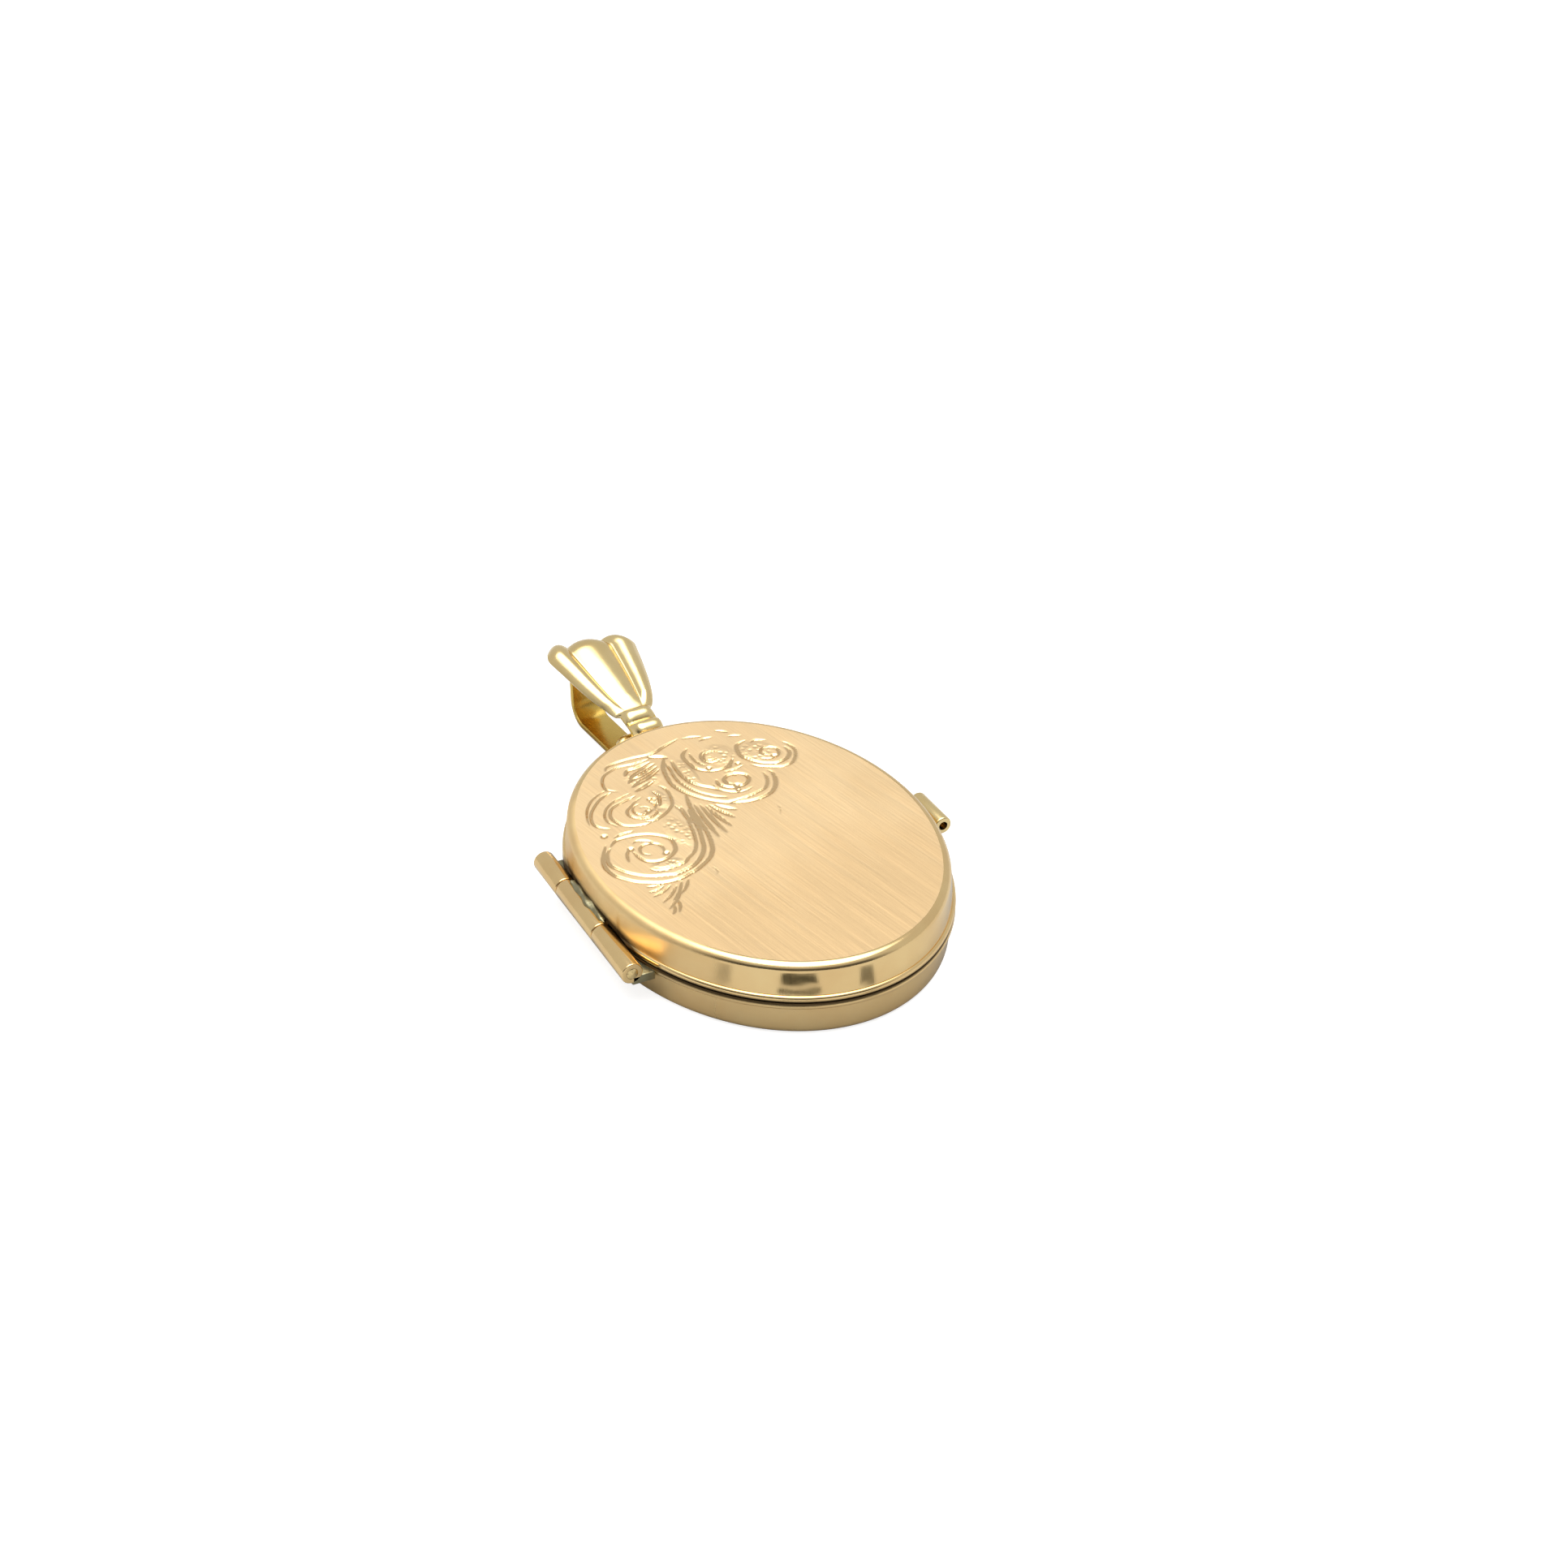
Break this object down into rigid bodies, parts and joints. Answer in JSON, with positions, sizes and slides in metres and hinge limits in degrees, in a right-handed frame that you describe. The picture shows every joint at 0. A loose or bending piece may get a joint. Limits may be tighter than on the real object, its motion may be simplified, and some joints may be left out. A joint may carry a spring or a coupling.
{
  "type": "oval locket",
  "caption": "Oval hinged locket with picture frames inside, a snap lip, a thumb tab and a swinging fluted bail.",
  "frame": {"origin": "centre of the flat resting face of the back cover", "axes": "+Y to the bail along the oval's long axis, +Z out of the front face; the hinge is on the -X side and runs along Y"},
  "size_m": [0.0171, 0.0273, 0.0041],
  "materials": {
    "gold_satin": "satin",
    "gold_polished": "polished",
    "gold_bail": "polished",
    "gold_inner": "polished",
    "card": "matte",
    "window": "clear"
  },
  "bodies": {
    "back": {"back_cover": "gold_polished", "back_rim": "gold_polished", "snap_lip": "gold_inner", "hinge_knuckle_upper": "gold_polished", "hinge_knuckle_lower": "gold_polished", "hinge_bearer_upper": "gold_polished", "hinge_bearer_lower": "gold_polished", "hinge_pin": "gold_polished", "back_picture_card": "card", "back_window": "window", "back_photo_frame": "gold_inner", "locket_loop": "gold_polished"},
    "front": {"front_cover": "gold_satin", "front_rim": "gold_polished", "hinge_knuckle_middle": "gold_polished", "thumb_tab": "gold_polished", "front_picture_card": "card", "front_window": "window", "front_photo_frame": "gold_inner"},
    "bail": {"bail_strap": "gold_bail", "bail_leaf": "gold_bail"}
  },
  "joints": [
    {"name": "cover_hinge", "type": "hinge", "parent": "back", "child": "front", "pos_m": [-0.00786, 0, 0.00173], "axis": [0, -1, 0], "range_deg": [0, 170]},
    {"name": "bail_swing", "type": "hinge", "parent": "back", "child": "bail", "pos_m": [0, 0.0115, 0.00176], "axis": [1, 0, 0], "range_deg": [-50, 85]}
  ]
}
